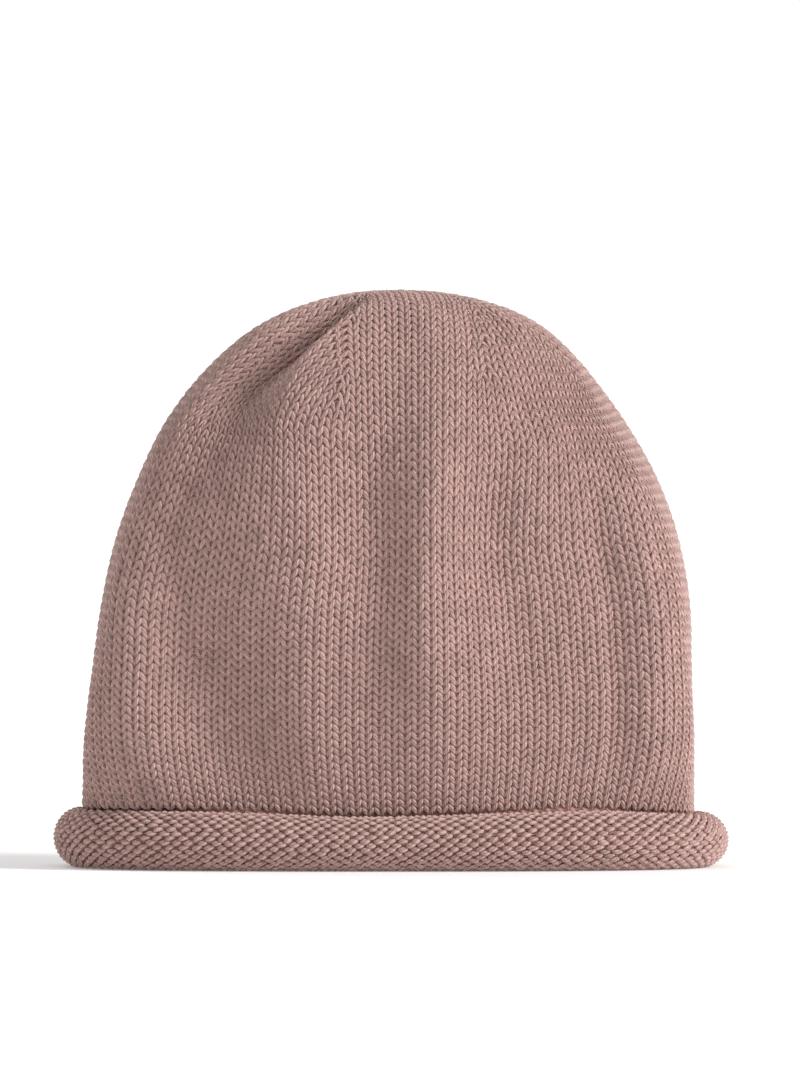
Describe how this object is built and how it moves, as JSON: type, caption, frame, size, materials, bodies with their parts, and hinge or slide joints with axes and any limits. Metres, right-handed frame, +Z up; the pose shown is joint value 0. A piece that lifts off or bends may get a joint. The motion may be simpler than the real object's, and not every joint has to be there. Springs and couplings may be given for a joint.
{
  "type": "knitted hat",
  "caption": "Hollow knitted wool hat with a softly folded crown, closed at the top, and a lower edge that curls outwards into one thick round roll.",
  "frame": {"origin": "middle of the hat's bounding box, on the surface that it stands on", "axes": "+X to the right of the picture, along the hat's widest side; -Y towards the viewer, the hat's front; +Z up to the closed top"},
  "size_m": [0.23, 0.1193, 0.1968],
  "materials": {
    "wool_knit": "dusty rose wool, plain knitting seen from its smooth side, soft and matt",
    "wool_reverse": "the same wool seen from its bumpy reverse side, matt"
  },
  "bodies": {
    "root": {"crown": "wool_knit", "rolled_brim": "wool_reverse"}
  },
  "joints": []
}
